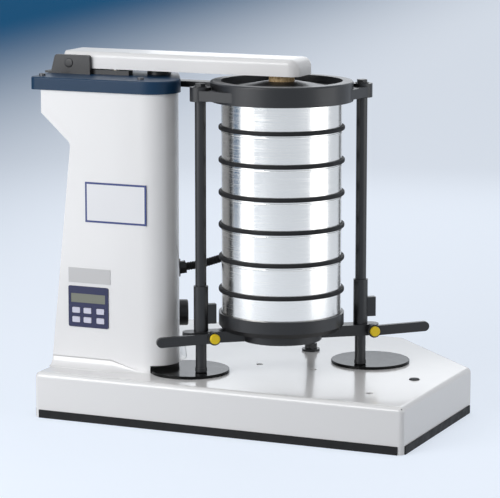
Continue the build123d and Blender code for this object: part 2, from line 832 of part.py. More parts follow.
# Two carrying rods with nylon feet that slide on the discs, and cap nuts on top
foot_height = 8.0
with BuildPart() as carrying_rods:
    with BuildSketch(Plane.XY.offset(disc_top + clear + foot_height)):
        with Locations(*rod_points):
            Circle(rod_radius)
    extrude(amount=ear_top - disc_top - clear - foot_height)
save(carrying_rods.part, "carrying_rods")

with BuildPart() as rod_feet:
    with BuildSketch(Plane.XY.offset(disc_top + clear)):
        with Locations(*rod_points):
            Circle(rod_radius + 0.8)
    extrude(amount=foot_height)
    fillet(rod_feet.edges().group_by(Axis.Z)[0], 1.5)
save(rod_feet.part, "rod_feet")

with BuildPart() as rod_nuts:
    with BuildSketch(Plane.XY.offset(ear_top)):
        with Locations(*rod_points):
            Circle(rod_radius + 2)
    extrude(amount=1.5)
    with BuildSketch(Plane.XY.offset(ear_top + 1.5)):
        with Locations(*rod_points):
            RegularPolygon(rod_radius, 6)
    extrude(amount=5)
    fillet(rod_nuts.edges().group_by(Axis.Z)[-1], 1)
save(rod_nuts.part, "rod_nuts")

# Places of the two lever screws, facing away from the cross bar
lever_screw = 5.0
lever_planes = []
for side, rod in zip((-1, 1), rod_points):
    hub = Vector(rod[0], rod[1], lever_height) + along * hub_offset + across * yoke_half_width
    lever_planes.append(Plane(origin=hub, x_dir=along * side, z_dir=across))

# Support yoke: cross bar, two long sleeves on the rods and a clamp lug beside each
with BuildPart() as support_yoke:
    with BuildSketch(Plane.XY.offset(yoke_bottom)):
        with Locations(Location((axis_x, axis_y), line_angle)):
            SlotOverall(2 * (rod_reach + hub_offset + yoke_half_width), 2 * yoke_half_width)
        with Locations((axis_x, axis_y)):
            Circle(70)
    extrude(amount=yoke_top - yoke_bottom)
    with BuildSketch(Plane.XY.offset(yoke_bottom)):
        with Locations(*rod_points):
            Circle(sleeve_radius)
    extrude(amount=sleeve_top - yoke_bottom)
    for x, y in rod_points:
        with BuildSketch(Plane.XY.offset(yoke_bottom + 32)):
            with Locations(Location((x, y), line_angle)):
                Rectangle(26, 12, align=(Align.MIN, Align.CENTER))
        extrude(amount=34)
    with BuildSketch(Plane.XY.offset(yoke_bottom)):
        with Locations(*rod_points):
            Circle(rod_radius + 0.08)
    extrude(amount=sleeve_top - yoke_bottom, mode=Mode.SUBTRACT)
    for plane in lever_planes:
        with BuildSketch(plane):
            Circle(lever_screw + 0.02)
        extrude(amount=-8, mode=Mode.SUBTRACT)
save(support_yoke.part, "support_yoke")

# Support dish for the pan
dish_well = 60.0
dish_step = 6.0
with BuildPart() as support_dish:
    with BuildSketch(Plane.XZ.offset(-axis_y)):
        with BuildLine():
            Polyline(
                (axis_x, yoke_top),
                (axis_x + dish_radius - 6, yoke_top),
                (axis_x + dish_radius, yoke_top + 8),
                (axis_x + dish_radius, dish_top),
                (axis_x + frame_radius + 0.7, dish_top),
                (axis_x + frame_radius + 0.7, pan_bottom),
                (axis_x + dish_well, pan_bottom),
                (axis_x + dish_well, pan_bottom - dish_step),
                (axis_x, pan_bottom - dish_step),
                close=True,
            )
        make_face()
    revolve(axis=Axis((axis_x, axis_y, 0), (0, 0, 1)))
save(support_dish.part, "support_dish")

# Levers: a boss on a screw, a flat bar along the line of the rods and a turned cap on the screw
lever_thickness = 8.0
lever_gap = 0.5
lever_half = 8.5
lever_fall = 3.5
lever_run = lever_length - lever_half
lever_turn = degrees(atan2(lever_fall, lever_run))
for plane, name in zip(lever_planes, ("left", "right")):
    with BuildPart() as lever:
        with BuildSketch(plane.offset(lever_gap)):
            Circle(11.5)
        extrude(amount=lever_face)
        with BuildSketch(plane.offset(lever_gap + 3)):
            with Locations(Location((lever_run / 2, lever_fall / 2), lever_turn)):
                SlotCenterToCenter(lever_run, 2 * lever_half)
        extrude(amount=lever_thickness)
        with BuildSketch(plane):
            Circle(lever_screw + running)
        extrude(amount=lever_face + 2, mode=Mode.SUBTRACT)
    save(lever.part, f"lever_{name}")
    with BuildPart() as lever_cap:
        with BuildSketch(plane.offset(lever_gap + lever_face + 0.4)):
            Circle(8.7)
        extrude(amount=5)
        fillet(lever_cap.faces().sort_by_distance(plane.offset(60).origin)[0].edges(), 1.5)
        with BuildSketch(plane.offset(-6)):
            Circle(lever_screw)
        extrude(amount=lever_gap + lever_face + 6.4)
    save(lever_cap.part, f"lever_cap_{name}")

# Receiving pan
with BuildPart() as pan:
    with BuildSketch(Plane.XY.offset(pan_bottom)):
        with Locations((axis_x, axis_y)):
            Circle(frame_radius)
    extrude(amount=ring_heights[-1] - ring_thickness / 2 - pan_bottom)
    with BuildSketch(Plane.XY.offset(pan_bottom + frame_wall)):
        with Locations((axis_x, axis_y)):
            Circle(frame_radius - frame_wall)
    extrude(amount=ring_heights[0], mode=Mode.SUBTRACT)
save(pan.part, "pan")

# Sieves: frame drawn as one wall with a beaded top edge, a mesh seat and a skirt that nests below
skirt_depth = 8.0
skirt_radius = frame_radius - frame_wall - 0.6
for number, height in enumerate(ring_heights, start=1):
    top = height + sieve_pitch - ring_thickness / 2
    with BuildPart() as sieve:
        with BuildSketch(Plane.XZ.offset(-axis_y)):
            with BuildLine():
                Polyline(
                    (axis_x + skirt_radius - frame_wall, height - skirt_depth),
                    (axis_x + skirt_radius, height - skirt_depth),
                    (axis_x + skirt_radius, height - ring_thickness / 2),
                    (axis_x + ring_radius - 1, height - ring_thickness / 2),
                    (axis_x + ring_radius, height - ring_thickness / 2 + 1),
                    (axis_x + ring_radius, height + ring_thickness / 2 - 1),
                    (axis_x + ring_radius - 1, height + ring_thickness / 2),
                    (axis_x + frame_radius, height + ring_thickness / 2),
                    (axis_x + frame_radius, top),
                    (axis_x + frame_radius - frame_wall, top),
                    (axis_x + frame_radius - frame_wall, height + 1),
                    (axis_x + skirt_radius - frame_wall, height - 1),
                    close=True,
                )
            make_face()
        revolve(axis=Axis((axis_x, axis_y, 0), (0, 0, 1)))
    save(sieve.part, f"sieve_{number}")

# Woven wire seen as one thin disc in every sieve
with BuildPart() as sieve_meshes:
    for height in ring_heights:
        with BuildSketch(Plane.XY.offset(height - 3)):
            with Locations((axis_x, axis_y)):
                Circle(skirt_radius - frame_wall)
        extrude(amount=0.8)
save(sieve_meshes.part, "sieve_meshes")

# Conduit between the column's side and the base top, with a gland at each end
conduit_radius = 7.5
route = [
    (163.8, 235.0, 236.0),
    (204.0, 255.0, 243.0),
    (245.0, 274.0, 257.0),
    (288.0, 296.0, 262.0),
    (325.0, 322.0, 248.0),
    (352.0, 345.0, 215.0),
    (366.0, 356.0, 170.0),
    (370.0, 358.0, 128.0),
    (370.0, 358.0, 83.0),
]
corners = [Vector(left + x, front + y, z) for x, y, z in route]
first_run = (corners[1] - corners[0]).normalized()
corners[0] = corners[0] + first_run * 2
bends = []
for before, corner, after in zip(corners, corners[1:], corners[2:]):
    turn = radians((corner - before).get_angle(after - corner))
    shorter = min((corner - before).length, (after - corner).length)
    bends.append(0.45 * shorter / tan(turn / 2))
print("conduit radii", [round(bend, 1) for bend in bends])
with BuildPart() as conduit:
    with BuildLine() as path:
        FilletPolyline(*corners, radius=bends)
    with BuildSketch(Plane(origin=corners[0], z_dir=path.line % 0)):
        Circle(conduit_radius)
    sweep()
save(conduit.part, "conduit")
print("conduit length", round(path.wires()[0].length, 1))

wall_turn = radians(column_slant)
wall_out = Vector(cos(wall_turn), sin(wall_turn), 0)
wall_tip = Vector(
    column_right - column_nose + column_nose * cos(wall_turn),
    column_y + column_nose + column_nose * sin(wall_turn),
    0,
)
wall_run = Vector(-sin(wall_turn), cos(wall_turn), 0)


def on_wall(run, height):
    """A plane on the slanted wall, a distance back along it and at a height, facing outwards."""
    spot = wall_tip + wall_run * run
    return Plane(origin=(spot.X, spot.Y, height), x_dir=wall_run, z_dir=wall_out)


gland_run = 116.0
cap_run = 93.8
gland_plane = Plane(origin=corners[0] - first_run * 0.5, z_dir=first_run)
with BuildPart() as conduit_glands:
    with BuildSketch(on_wall(gland_run, corners[0].Z)):
        Circle(16)
    extrude(amount=5)
    with BuildSketch(gland_plane):
        RegularPolygon(12, 6)
    extrude(amount=14)
    with BuildSketch(gland_plane):
        Circle(conduit_radius + 0.02)
    extrude(amount=20, both=True, mode=Mode.SUBTRACT)
    with BuildSketch(Plane.XY.offset(base_height)):
        with Locations((corners[-1].X, corners[-1].Y)):
            Circle(16)
    extrude(amount=4)
    with BuildSketch(Plane.XY.offset(base_height)):
        with Locations((corners[-1].X, corners[-1].Y)):
            RegularPolygon(12, 6)
    extrude(amount=14)
    with BuildSketch(Plane.XY.offset(base_height)):
        with Locations((corners[-1].X, corners[-1].Y)):
            Circle(conduit_radius + 0.02)
    extrude(amount=20, mode=Mode.SUBTRACT)
save(conduit_glands.part, "conduit_glands")

with BuildPart() as side_cap:
    with BuildSketch(on_wall(cap_run, 160)):
        Circle(23)
    extrude(amount=18)
    face = side_cap.faces().sort_by_distance(on_wall(cap_run, 160).offset(60).origin)[0]
    fillet(face.edges(), 3)
save(side_cap.part, "side_cap")
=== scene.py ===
"""Looks of the tapping sieve shaker: finishes, fine pieces, floor, lamps and camera.

Lengths are in metres, in the frame's axes: x to the right, y to the back, z up.
"""

import json
import math

import bmesh
import bpy
import numpy as np
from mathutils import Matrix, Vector


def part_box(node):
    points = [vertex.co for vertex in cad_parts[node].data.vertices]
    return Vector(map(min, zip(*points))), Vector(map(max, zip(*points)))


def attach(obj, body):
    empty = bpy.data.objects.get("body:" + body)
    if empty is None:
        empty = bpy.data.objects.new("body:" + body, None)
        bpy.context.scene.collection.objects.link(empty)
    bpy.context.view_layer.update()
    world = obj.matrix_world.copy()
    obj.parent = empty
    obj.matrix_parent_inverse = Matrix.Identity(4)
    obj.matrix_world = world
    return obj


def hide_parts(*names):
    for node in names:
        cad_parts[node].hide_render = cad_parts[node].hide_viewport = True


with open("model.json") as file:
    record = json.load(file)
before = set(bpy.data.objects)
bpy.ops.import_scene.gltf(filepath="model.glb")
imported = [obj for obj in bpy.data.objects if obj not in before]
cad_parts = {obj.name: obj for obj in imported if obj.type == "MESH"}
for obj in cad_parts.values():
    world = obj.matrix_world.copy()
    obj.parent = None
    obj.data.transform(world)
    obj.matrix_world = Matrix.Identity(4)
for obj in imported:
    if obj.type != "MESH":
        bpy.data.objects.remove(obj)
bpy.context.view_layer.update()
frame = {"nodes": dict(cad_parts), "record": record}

# Places read from the solids
base_low, base_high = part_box("base_pan")
LEFT = base_low.x
FRONT = base_low.y
BASE_TOP = base_high.z
dish_low, dish_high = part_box("support_dish")
AXIS_X = (dish_low.x + dish_high.x) / 2
AXIS_Y = (dish_low.y + dish_high.y) / 2
column_low, column_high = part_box("column_housing")
cover_low, cover_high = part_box("rear_cover")
screws_low, screws_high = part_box("rear_cover_screws")
pin_low, pin_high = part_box("pivot_pin")
plate_low, plate_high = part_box("name_plate")

# Column: its left edge leans in to the neck and out to the brow; its nose and its slanted wall
NECK_IN = 0.041
NECK_DROP = 0.091
BROW_DROP = 0.040
NECK_ROUND = 0.014
NOSE_RADIUS = 0.045
NOSE_X = LEFT + 0.1765
WALL_SLANT = math.radians(27)

# Soft round at the column's foot: size, start and end along each wall, and length of the fade
FOOT_FRONT_ROUND = 0.018
FOOT_FRONT_START = 0.002
FOOT_FRONT_END = 0.176
FOOT_FRONT_FADE = 0.060
FOOT_SIDE_ROUND = 0.016
FOOT_SIDE_START = 0.062
FOOT_SIDE_END = 0.187
FOOT_SIDE_FADE = 0.030
FOOT_LEAST_SHARE = 0.03
FOOT_SINK_OUT = 0.0006
FOOT_SINK_UP = 0.0004

# Dark ring under each sieve's wall, a black ring put there as painted shadow of the joint between
# sieves, and rolled bead round its mouth
JOINT_SHADOW_LIFT = 0.008
JOINT_SHADOW_RADIUS = 0.1049
JOINT_SHADOW_HALF_WIDTH = 0.0032
JOINT_SHADOW_HALF_HEIGHT = 0.0037
BEAD_DROP = 0.0045
BEAD_RADIUS = 0.1026
BEAD_HALF_WIDTH = 0.0011
BEAD_HALF_HEIGHT = 0.0017
SIEVES = 6

# Domed caps and screw heads: the profile from the middle to the rim, in shares
DOME_OUT = (0.02, 0.3, 0.6, 0.8, 0.9, 0.97, 1.0, 1.0)
DOME_DROP = (0, 0.03, 0.08, 0.15, 0.25, 0.5, 0.8, 1.0)
PIN_CAP_RADIUS = 0.0082
PIN_CAP_DEPTH = 0.0016
SCREW_RADIUS = 0.0032
SCREW_DEPTH = 0.002
SCREW_INSET = 0.012
SCREW_ROWS = 3

# Rear cover: a formed sheet with pressed louvres
COVER_SHEET = 0.002
COVER_BEND = 0.004
COVER_WRAP = 0.016
COVER_EDGE = 0.0006
COVER_SINK = 0.001
LOUVRES = 7
LOUVRE_STEP = 0.012
LOUVRE_SHARE = 0.7
LOUVRE_WIDTH = 0.070
LOUVRE_RISE = 0.0022
LOUVRES_BELOW_MIDDLE = 0.110

# Conduit: its line from the column's gland to the base's, in millimetres from the base's corner
CONDUIT_ROUTE = (
    (163.8, 235.0, 236.0),
    (204.0, 255.0, 243.0),
    (245.0, 274.0, 257.0),
    (288.0, 296.0, 262.0),
    (325.0, 322.0, 248.0),
    (352.0, 345.0, 215.0),
    (366.0, 356.0, 170.0),
    (370.0, 358.0, 128.0),
    (370.0, 358.0, 83.0),
)
CONDUIT_RADIUS = 0.0075
CONDUIT_START_GAP = 0.002
RIB_PITCH = 0.0045
RIB_DEPTH = 0.0005
RIB_ROW_STEP = 0.0009
CORNER_SHARE = 0.45

# Camera, as fitted to the photograph
LENS = 185.1
SENSOR = 36
CAMERA_TURN = math.radians(23.8)
CAMERA_RISE = math.radians(9.7)
CAMERA_DISTANCE = 4.4659
LOOK_AT = (LEFT + 0.3201, FRONT + 0.200, 0.2861)

# Middle span of the values that a noise gives
NOISE_LOW = 0.3
NOISE_HIGH = 0.7


# Finishes


class Paint:
    """A material with one principled shader and helpers that add procedural detail."""

    def __init__(self, name, colour, rough, metal=0.0, coat=0.0, shine=0.5):
        self.material = bpy.data.materials.new(name)
        self.material.use_nodes = True
        self.nodes = self.material.node_tree.nodes
        self.links = self.material.node_tree.links
        self.shader = self.nodes["Principled BSDF"]
        self.shader.inputs["Base Color"].default_value = (*colour, 1)
        self.shader.inputs["Roughness"].default_value = rough
        self.shader.inputs["Metallic"].default_value = metal
        self.shader.inputs["Specular IOR Level"].default_value = shine
        self.shader.inputs["Coat Weight"].default_value = coat
        self.shader.inputs["Coat Roughness"].default_value = 0.08
        self.place = self.nodes.new("ShaderNodeTexCoord")

    def noise(self, scale, stretch=(1, 1, 1), detail=3.0):
        """Noise over object coordinates, stretched along the axes."""
        mapping = self.nodes.new("ShaderNodeMapping")
        mapping.inputs["Scale"].default_value = stretch
        texture = self.nodes.new("ShaderNodeTexNoise")
        texture.inputs["Scale"].default_value = scale
        texture.inputs["Detail"].default_value = detail
        self.links.new(self.place.outputs["Object"], mapping.inputs["Vector"])
        self.links.new(mapping.outputs["Vector"], texture.inputs["Vector"])
        return texture.outputs["Fac"]

    def axes(self):
        """The three object coordinates, each as a value of its own."""
        split = self.nodes.new("ShaderNodeSeparateXYZ")
        self.links.new(self.place.outputs["Object"], split.inputs[0])
        return split.outputs

    def ranged(self, value, low, high):
        """Spreads a noise's middle span over a new range."""
        node = self.nodes.new("ShaderNodeMapRange")
        node.inputs["From Min"].default_value = NOISE_LOW
        node.inputs["From Max"].default_value = NOISE_HIGH
        node.inputs["To Min"].default_value = low
        node.inputs["To Max"].default_value = high
        self.links.new(value, node.inputs["Value"])
        return node.outputs["Result"]

    def bump(self, value, depth):
        """Relief of a depth in metres from a value."""
        node = self.nodes.new("ShaderNodeBump")
        node.inputs["Distance"].default_value = depth
        self.links.new(value, node.inputs["Height"])
        self.links.new(node.outputs["Normal"], self.shader.inputs["Normal"])

    def rough(self, value, low, high):
        """Roughness that varies with a value."""
        self.links.new(self.ranged(value, low, high), self.shader.inputs["Roughness"])

    def mix(self, value, first, second):
        """Base colour between two colours; gives the mixed colour back."""
        node = self.nodes.new("ShaderNodeMix")
        node.data_type = "RGBA"
        node.inputs[6].default_value = (*first, 1)
        node.inputs[7].default_value = (*second, 1)
        self.links.new(value, node.inputs[0])
        self.links.new(node.outputs[2], self.shader.inputs["Base Color"])
        return node.outputs[2]

    def step(self, kind, first, second=None):
        """One arithmetic step; an input is a number or an output socket."""
        node = self.nodes.new("ShaderNodeMath")
        node.operation = kind
        for socket, value in zip(node.inputs, (first, second)):
            if value is None:
                continue
            if isinstance(value, (int, float)):
                socket.default_value = value
            else:
                self.links.new(value, socket)
        return node.outputs[0]


def enamel(name, colour, rough, coat=0.0, peel=0.00002, shine=0.5):
    """Sprayed enamel with a fine orange-peel relief."""
    paint = Paint(name, colour, rough, coat=coat, shine=shine)
    paint.bump(paint.noise(420, detail=2), peel)
    paint.rough(paint.noise(35), rough * 0.96, rough * 1.06)
    return paint


def plastic(name, colour, rough, grain=900, relief=0.00001, shine=0.5):
    """Moulded plastic or rubber with a fine grain."""
    paint = Paint(name, colour, rough, shine=shine)
    paint.bump(paint.noise(grain, detail=2), relief)
    paint.rough(paint.noise(60), rough * 0.85, rough * 1.15)
    return paint


def metal(name, colour, low, high, stretch, scale=60, relief=0.000004):
    """Machined or spun metal, with fine lines across the stretched axis."""
    paint = Paint(name, colour, (low + high) / 2, metal=1.0)
    lines = paint.noise(scale, stretch, detail=4)
    paint.rough(lines, low, high)
    paint.bump(lines, relief)
    return paint


def name_plate_paint():
    """White plate with a dark border, from the distance to the plate's edges."""
    border = 0.0034
    white = (0.8, 0.81, 0.84)
    blue = (0.03, 0.05, 0.2)
    paint = Paint("white_plastic", white, 0.3)
    x, _, z = paint.axes()
    middle_x = (plate_low.x + plate_high.x) / 2
    middle_z = (plate_low.z + plate_high.z) / 2
    off_x = paint.step("ABSOLUTE", paint.step("SUBTRACT", x, middle_x))
    off_z = paint.step("ABSOLUTE", paint.step("SUBTRACT", z, middle_z))
    out_x = paint.step("GREATER_THAN", off_x, (plate_high.x - plate_low.x) / 2 - border)
    out_z = paint.step("GREATER_THAN", off_z, (plate_high.z - plate_low.z) / 2 - border)
    paint.mix(paint.step("MAXIMUM", out_x, out_z), white, blue)
    return paint


def cork_paint():
    """Pressed cork: brown grains between a dark and a pale tone."""
    paint = Paint("cork", (0.5, 0.34, 0.17), 0.8)
    grains = paint.noise(260, detail=5)
    paint.mix(paint.ranged(grains, 0, 1), (0.3, 0.18, 0.08), (0.72, 0.54, 0.3))
    paint.bump(grains, 0.0003)
    return paint


def mesh_paint():
    """Woven wire: the product of two sine waves, one along x and one along y."""
    radians_per_metre = 4000.0
    paint = Paint("wire_mesh", (0.6, 0.6, 0.6), 0.4, metal=1.0)
    x, y, _ = paint.axes()
    wave_x = paint.step("SINE", paint.step("MULTIPLY", x, radians_per_metre))
    wave_y = paint.step("SINE", paint.step("MULTIPLY", y, radians_per_metre))
    paint.bump(paint.step("MULTIPLY", wave_x, wave_y), 0.0002)
    return paint


SPUN = (0.3, 0.3, 40)
TURNED = (1, 1, 8)
DRAWN = (1, 1, 20)
paints = {
    "painted_sheet": enamel("painted_sheet", (0.83, 0.83, 0.84), 0.25, coat=0.35),
    "white_metal": enamel("white_metal", (0.84, 0.84, 0.85), 0.32, coat=0.2),
    "blue_casting": enamel("blue_casting", (0.003, 0.03, 0.075), 0.4, 0.05, 0.0001, 0.25),
    "black_metal": enamel("black_metal", (0.011, 0.011, 0.012), 0.36, peel=0.00005),
    "dark_steel": metal("dark_steel", (0.12, 0.12, 0.125), 0.35, 0.5, TURNED),
    "bright_steel": metal("bright_steel", (0.62, 0.62, 0.63), 0.2, 0.35, SPUN),
    "polished_steel": metal("polished_steel", (0.83, 0.81, 0.775), 0.17, 0.3, SPUN, 30, 0.00001),
    "chrome": metal("chrome", (0.8, 0.8, 0.8), 0.06, 0.12, DRAWN),
    "brass": metal("brass", (0.55, 0.36, 0.13), 0.25, 0.4, SPUN),
    "black_rubber": plastic("black_rubber", (0.015, 0.015, 0.016), 0.6, 500, 0.00005, 0.2),
    "black_plastic": plastic("black_plastic", (0.014, 0.014, 0.015), 0.4),
    "gloss_black": plastic("gloss_black", (0.006, 0.006, 0.006), 0.16, 200, 0.000002, 0.1),
    "grey_plastic": plastic("grey_plastic", (0.56, 0.56, 0.57), 0.45),
    "navy_plastic": plastic("navy_plastic", (0.006, 0.009, 0.06), 0.4),
    "display_glass": plastic("display_glass", (0.2, 0.21, 0.17), 0.12),
    "yellow_cap": plastic("yellow_cap", (0.86, 0.62, 0.01), 0.4),
    "key_plastic": plastic("key_plastic", (0.62, 0.62, 0.74), 0.4),
    "white_plastic": name_plate_paint(),
    "cork": cork_paint(),
    "wire_mesh": mesh_paint(),
}
for entry in frame["record"]["subparts"]:
    node = frame["nodes"][entry["node"]]
    node.data.materials.clear()
    node.data.materials.append(paints[entry["material_slot"]].material)


# Pieces made as surfaces


def surface(name, grids, slot, body, around=False, along=False, crease=None):
    """One mesh through grids of points. Its columns are joined end to end with around, its rows
    with along, and open ends get a flat face. Edges are sharp past the crease in degrees."""
    verts = []
    faces = []
    count = 0
    for grid in grids:
        rows, columns = grid.shape[:2]
        i = np.arange(rows if along else rows - 1)
        j = np.arange(columns if around else columns - 1)
        a, b = np.meshgrid(i, j, indexing="ij")
        c = (a + 1) % rows
        d = (b + 1) % columns
        corners = [a * columns + b, c * columns + b, c * columns + d, a * columns + d]
        faces.append(np.stack(corners, -1).reshape(-1, 4) + count)
        verts.append(grid.reshape(-1, 3))
        count += rows * columns
    mesh = bpy.data.meshes.new(name)
    mesh.from_pydata(np.concatenate(verts).tolist(), [], np.concatenate(faces).tolist())
    work = bmesh.new()
    work.from_mesh(mesh)
    if around and not along:
        ends = [edge for edge in work.edges if edge.is_boundary]
        bmesh.ops.holes_fill(work, edges=ends, sides=0)
    bmesh.ops.recalc_face_normals(work, faces=work.faces)
    work.to_mesh(mesh)
    work.free()
    corner_counts = np.empty(len(mesh.polygons), dtype=np.int32)
    mesh.polygons.foreach_get("loop_total", corner_counts)
    mesh.polygons.foreach_set("use_smooth", corner_counts == 4)
    if crease:
        mesh.set_sharp_from_angle(angle=math.radians(crease))
    mesh.materials.append(paints[slot].material)
    piece = bpy.data.objects.new(name, mesh)
    bpy.context.collection.objects.link(piece)
    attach(piece, body)
    return piece


def hoop(name, height, radius, half_width, half_height, slot):
    """A hoop round the stack. Its section's reach and height are the cosine and the sine of the
    section angle, each raised to a power below one, so that it is squarer than a circle."""
    power = 0.7
    turn = np.linspace(0, 2 * np.pi, 120, endpoint=False)[:, None]
    section = np.linspace(0, 2 * np.pi, 20, endpoint=False)[None, :]
    out = np.sign(np.cos(section)) * np.abs(np.cos(section)) ** power
    up = np.sign(np.sin(section)) * np.abs(np.sin(section)) ** power
    reach = radius + half_width * out
    x = AXIS_X + reach * np.cos(turn)
    y = AXIS_Y + reach * np.sin(turn)
    z = np.broadcast_to(height + half_height * up, x.shape)
    return surface(name, [np.stack([x, y, z], -1)], slot, "table", True, True)


def dome(centre, radius, depth, toward):
    """A shallow dome that faces along y: rings at shares of the radius, each standing out by the
    depth less its share of the drop."""
    turn = np.linspace(0, 2 * np.pi, 40, endpoint=False)[None, :]
    out = np.array(DOME_OUT)[:, None]
    drop = np.array(DOME_DROP)[:, None]
    x = centre[0] + radius * out * np.cos(turn)
    z = centre[2] + radius * out * np.sin(turn)
    y = np.broadcast_to(centre[1] + toward * depth * (1 - drop), x.shape)
    return np.stack([x, y, z], -1)


def sieve_rings():
    """A dark ring near each sieve's foot as painted shadow of the joint, and a steel bead near its
    mouth.
    """
    for number in range(1, SIEVES + 1):
        low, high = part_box(f"sieve_{number}")
        # Black ring in the black rubber finish: painted shadow where each sieve nests on the one
        # below
        hoop(
            f"joint_shadow_ring_{number}",
            low.z + JOINT_SHADOW_LIFT,
            JOINT_SHADOW_RADIUS,
            JOINT_SHADOW_HALF_WIDTH,
            JOINT_SHADOW_HALF_HEIGHT,
            "black_rubber",
        )
        hoop(
            f"sieve_bead_{number}",
            high.z - BEAD_DROP,
            BEAD_RADIUS,
            BEAD_HALF_WIDTH,
            BEAD_HALF_HEIGHT,
            "polished_steel",
        )


def pivot_caps():
    """Caps on both ends of the hammer arm's pivot pin."""
    x = (pin_low.x + pin_high.x) / 2
    z = (pin_low.z + pin_high.z) / 2
    front = dome((x, pin_low.y, z), PIN_CAP_RADIUS, PIN_CAP_DEPTH, -1)
    rear = dome((x, pin_high.y, z), PIN_CAP_RADIUS, PIN_CAP_DEPTH, 1)
    surface("pivot_cap", [front, rear], "black_plastic", "body", True)


# Rear cover of the column


def column_edge(height):
    """X of the column's left edge at a height: the lesser of the slanted wall's line and the line
    from the neck out to the brow, never past the brow, with an arc where the lines meet."""
    neck = np.array([LEFT + NECK_IN, column_high.z - NECK_DROP])
    brow = np.array([column_low.x, column_high.z - BROW_DROP])
    wall = neck - np.array([LEFT, BASE_TOP])
    slope = brow - neck
    wall_side = np.array([-wall[1], wall[0]]) / np.linalg.norm(wall)
    slope_side = np.array([-slope[1], slope[0]]) / np.linalg.norm(slope)
    middle = (wall_side + slope_side) / np.linalg.norm(wall_side + slope_side)
    centre = neck + middle * NECK_ROUND / (middle @ wall_side)
    on_wall = neck[0] + wall[0] / wall[1] * (height - neck[1])
    on_slope = neck[0] + slope[0] / slope[1] * (height - neck[1])
    lines = np.minimum(on_wall, on_slope)
    arc_low = (centre - NECK_ROUND * wall_side)[1]
    arc_high = (centre - NECK_ROUND * slope_side)[1]
    arc = centre[0] + np.sqrt(np.maximum(NECK_ROUND**2 - (height - centre[1]) ** 2, 0))
    rounded = np.where((height > arc_low) & (height < arc_high), arc, lines)
    return np.maximum(rounded, column_low.x)


def louvre_span():
    """Heights of the lowest louvre's foot and of the highest louvre's top."""
    middle = (cover_low.z + cover_high.z) / 2 - LOUVRES_BELOW_MIDDLE
    half = LOUVRE_STEP * LOUVRES / 2
    return middle - half, middle + half


def louvre_relief(x, z):
    """Height of the pressed louvres: it grows evenly from each louvre's top to its lip, drops at
    the lip, and falls towards the ends with the root of one less the fourth power of the way."""
    middle_x = (cover_low.x + cover_high.x) / 2
    top = louvre_span()[1]
    across = np.clip(1 - (2 * (x - middle_x) / LOUVRE_WIDTH) ** 4, 0, 1)
    down = (top - z) / LOUVRE_STEP
    share = (down % 1) / LOUVRE_SHARE
    inside = (down > 0) & (down < LOUVRES) & (share <= 1)
    return LOUVRE_RISE * across**0.5 * np.where(inside, share, 0)


def cover_points():
    """The cover's section at each height: out through the left face, along it to the back, round
    a quarter bend, across the back, and home inside the wall."""
    gap = 0.001
    fine_step = 0.0006
    rows_below = 20
    rows_above = 110
    foot, top = louvre_span()
    rows = [
        np.linspace(cover_low.z, foot - gap, rows_below),
        np.arange(foot, top + gap / 10, fine_step),
        np.linspace(top + gap, cover_high.z, rows_above),
    ]
    z = np.concatenate(rows)[:, None]
    same = np.zeros_like(z)
    edge = column_edge(z)
    wall = column_high.y
    back = wall + COVER_SHEET
    inside = wall - COVER_SINK
    angle = np.linspace(0, np.pi / 2, 7)[None, :]
    bend_x = edge - COVER_SHEET + COVER_BEND * (1 - np.cos(angle))
    bend_y = back - COVER_BEND * (1 - np.sin(angle)) + same
    span = np.linspace(0, 1, 60)[None, 1:]
    panel_x = bend_x[:, -1:] + (cover_high.x - COVER_EDGE - bend_x[:, -1:]) * span
    panel_y = back + louvre_relief(panel_x, z)
    left_x = np.concatenate([edge + COVER_SINK, edge - COVER_SHEET], 1)
    left_y = np.full(left_x.shape, wall - COVER_WRAP)
    home_x = np.concatenate([same + cover_high.x, same + cover_high.x, edge + COVER_SINK], 1)
    home_y = np.array([[back - COVER_EDGE, inside, inside]]) + same
    x = np.concatenate([left_x, bend_x, panel_x, home_x], 1)
    y = np.concatenate([left_y, bend_y, panel_y, home_y], 1)
    return np.stack([x, y, np.broadcast_to(z, x.shape)], -1)


def screw_points():
    """Heads of the rear cover's screws, the left ones along the slanted edge."""
    heads = []
    low = screws_low.z + SCREW_RADIUS
    high = screws_high.z - SCREW_RADIUS
    for z in np.linspace(low, high, SCREW_ROWS):
        for x in (float(column_edge(z)) + SCREW_INSET, screws_high.x - SCREW_RADIUS):
            heads.append(dome((x, screws_low.y, z), SCREW_RADIUS, SCREW_DEPTH, 1))
    return heads


# Soft round at the column's foot


def foot_round(name, points, normal, sizes):
    """A hollow quarter round along a line on the base. Its offset is the size times one less the
    sine of the section angle, its height the size times one less the cosine, and one more row
    closes it inside the solids."""
    angle = np.linspace(0, np.pi / 2, 9)
    size = sizes[:, None]
    out = size * (1 - np.sin(angle))[None, :]
    up = size * (1 - np.cos(angle))[None, :]
    out = np.concatenate([out, np.full(size.shape, -FOOT_SINK_OUT)], 1)
    up = np.concatenate([up, np.full(size.shape, -FOOT_SINK_UP)], 1)
    x = points[:, :1] + normal[0] * out
    y = points[:, 1:] + normal[1] * out
    return surface(name, [np.stack([x, y, BASE_TOP + up], -1)], "painted_sheet", "body", True)


def front_foot():
    """The round along the column's front, which fades towards the nose."""
    run = np.linspace(FOOT_FRONT_START, FOOT_FRONT_END, 60)
    fade = (FOOT_FRONT_END + 0.001 - run) / FOOT_FRONT_FADE
    sizes = FOOT_FRONT_ROUND * np.clip(fade, FOOT_LEAST_SHARE, 1)
    points = np.stack([LEFT + run, np.full(run.shape, column_low.y)], -1)
    foot_round("column_foot_front", points, (0, -1), sizes)


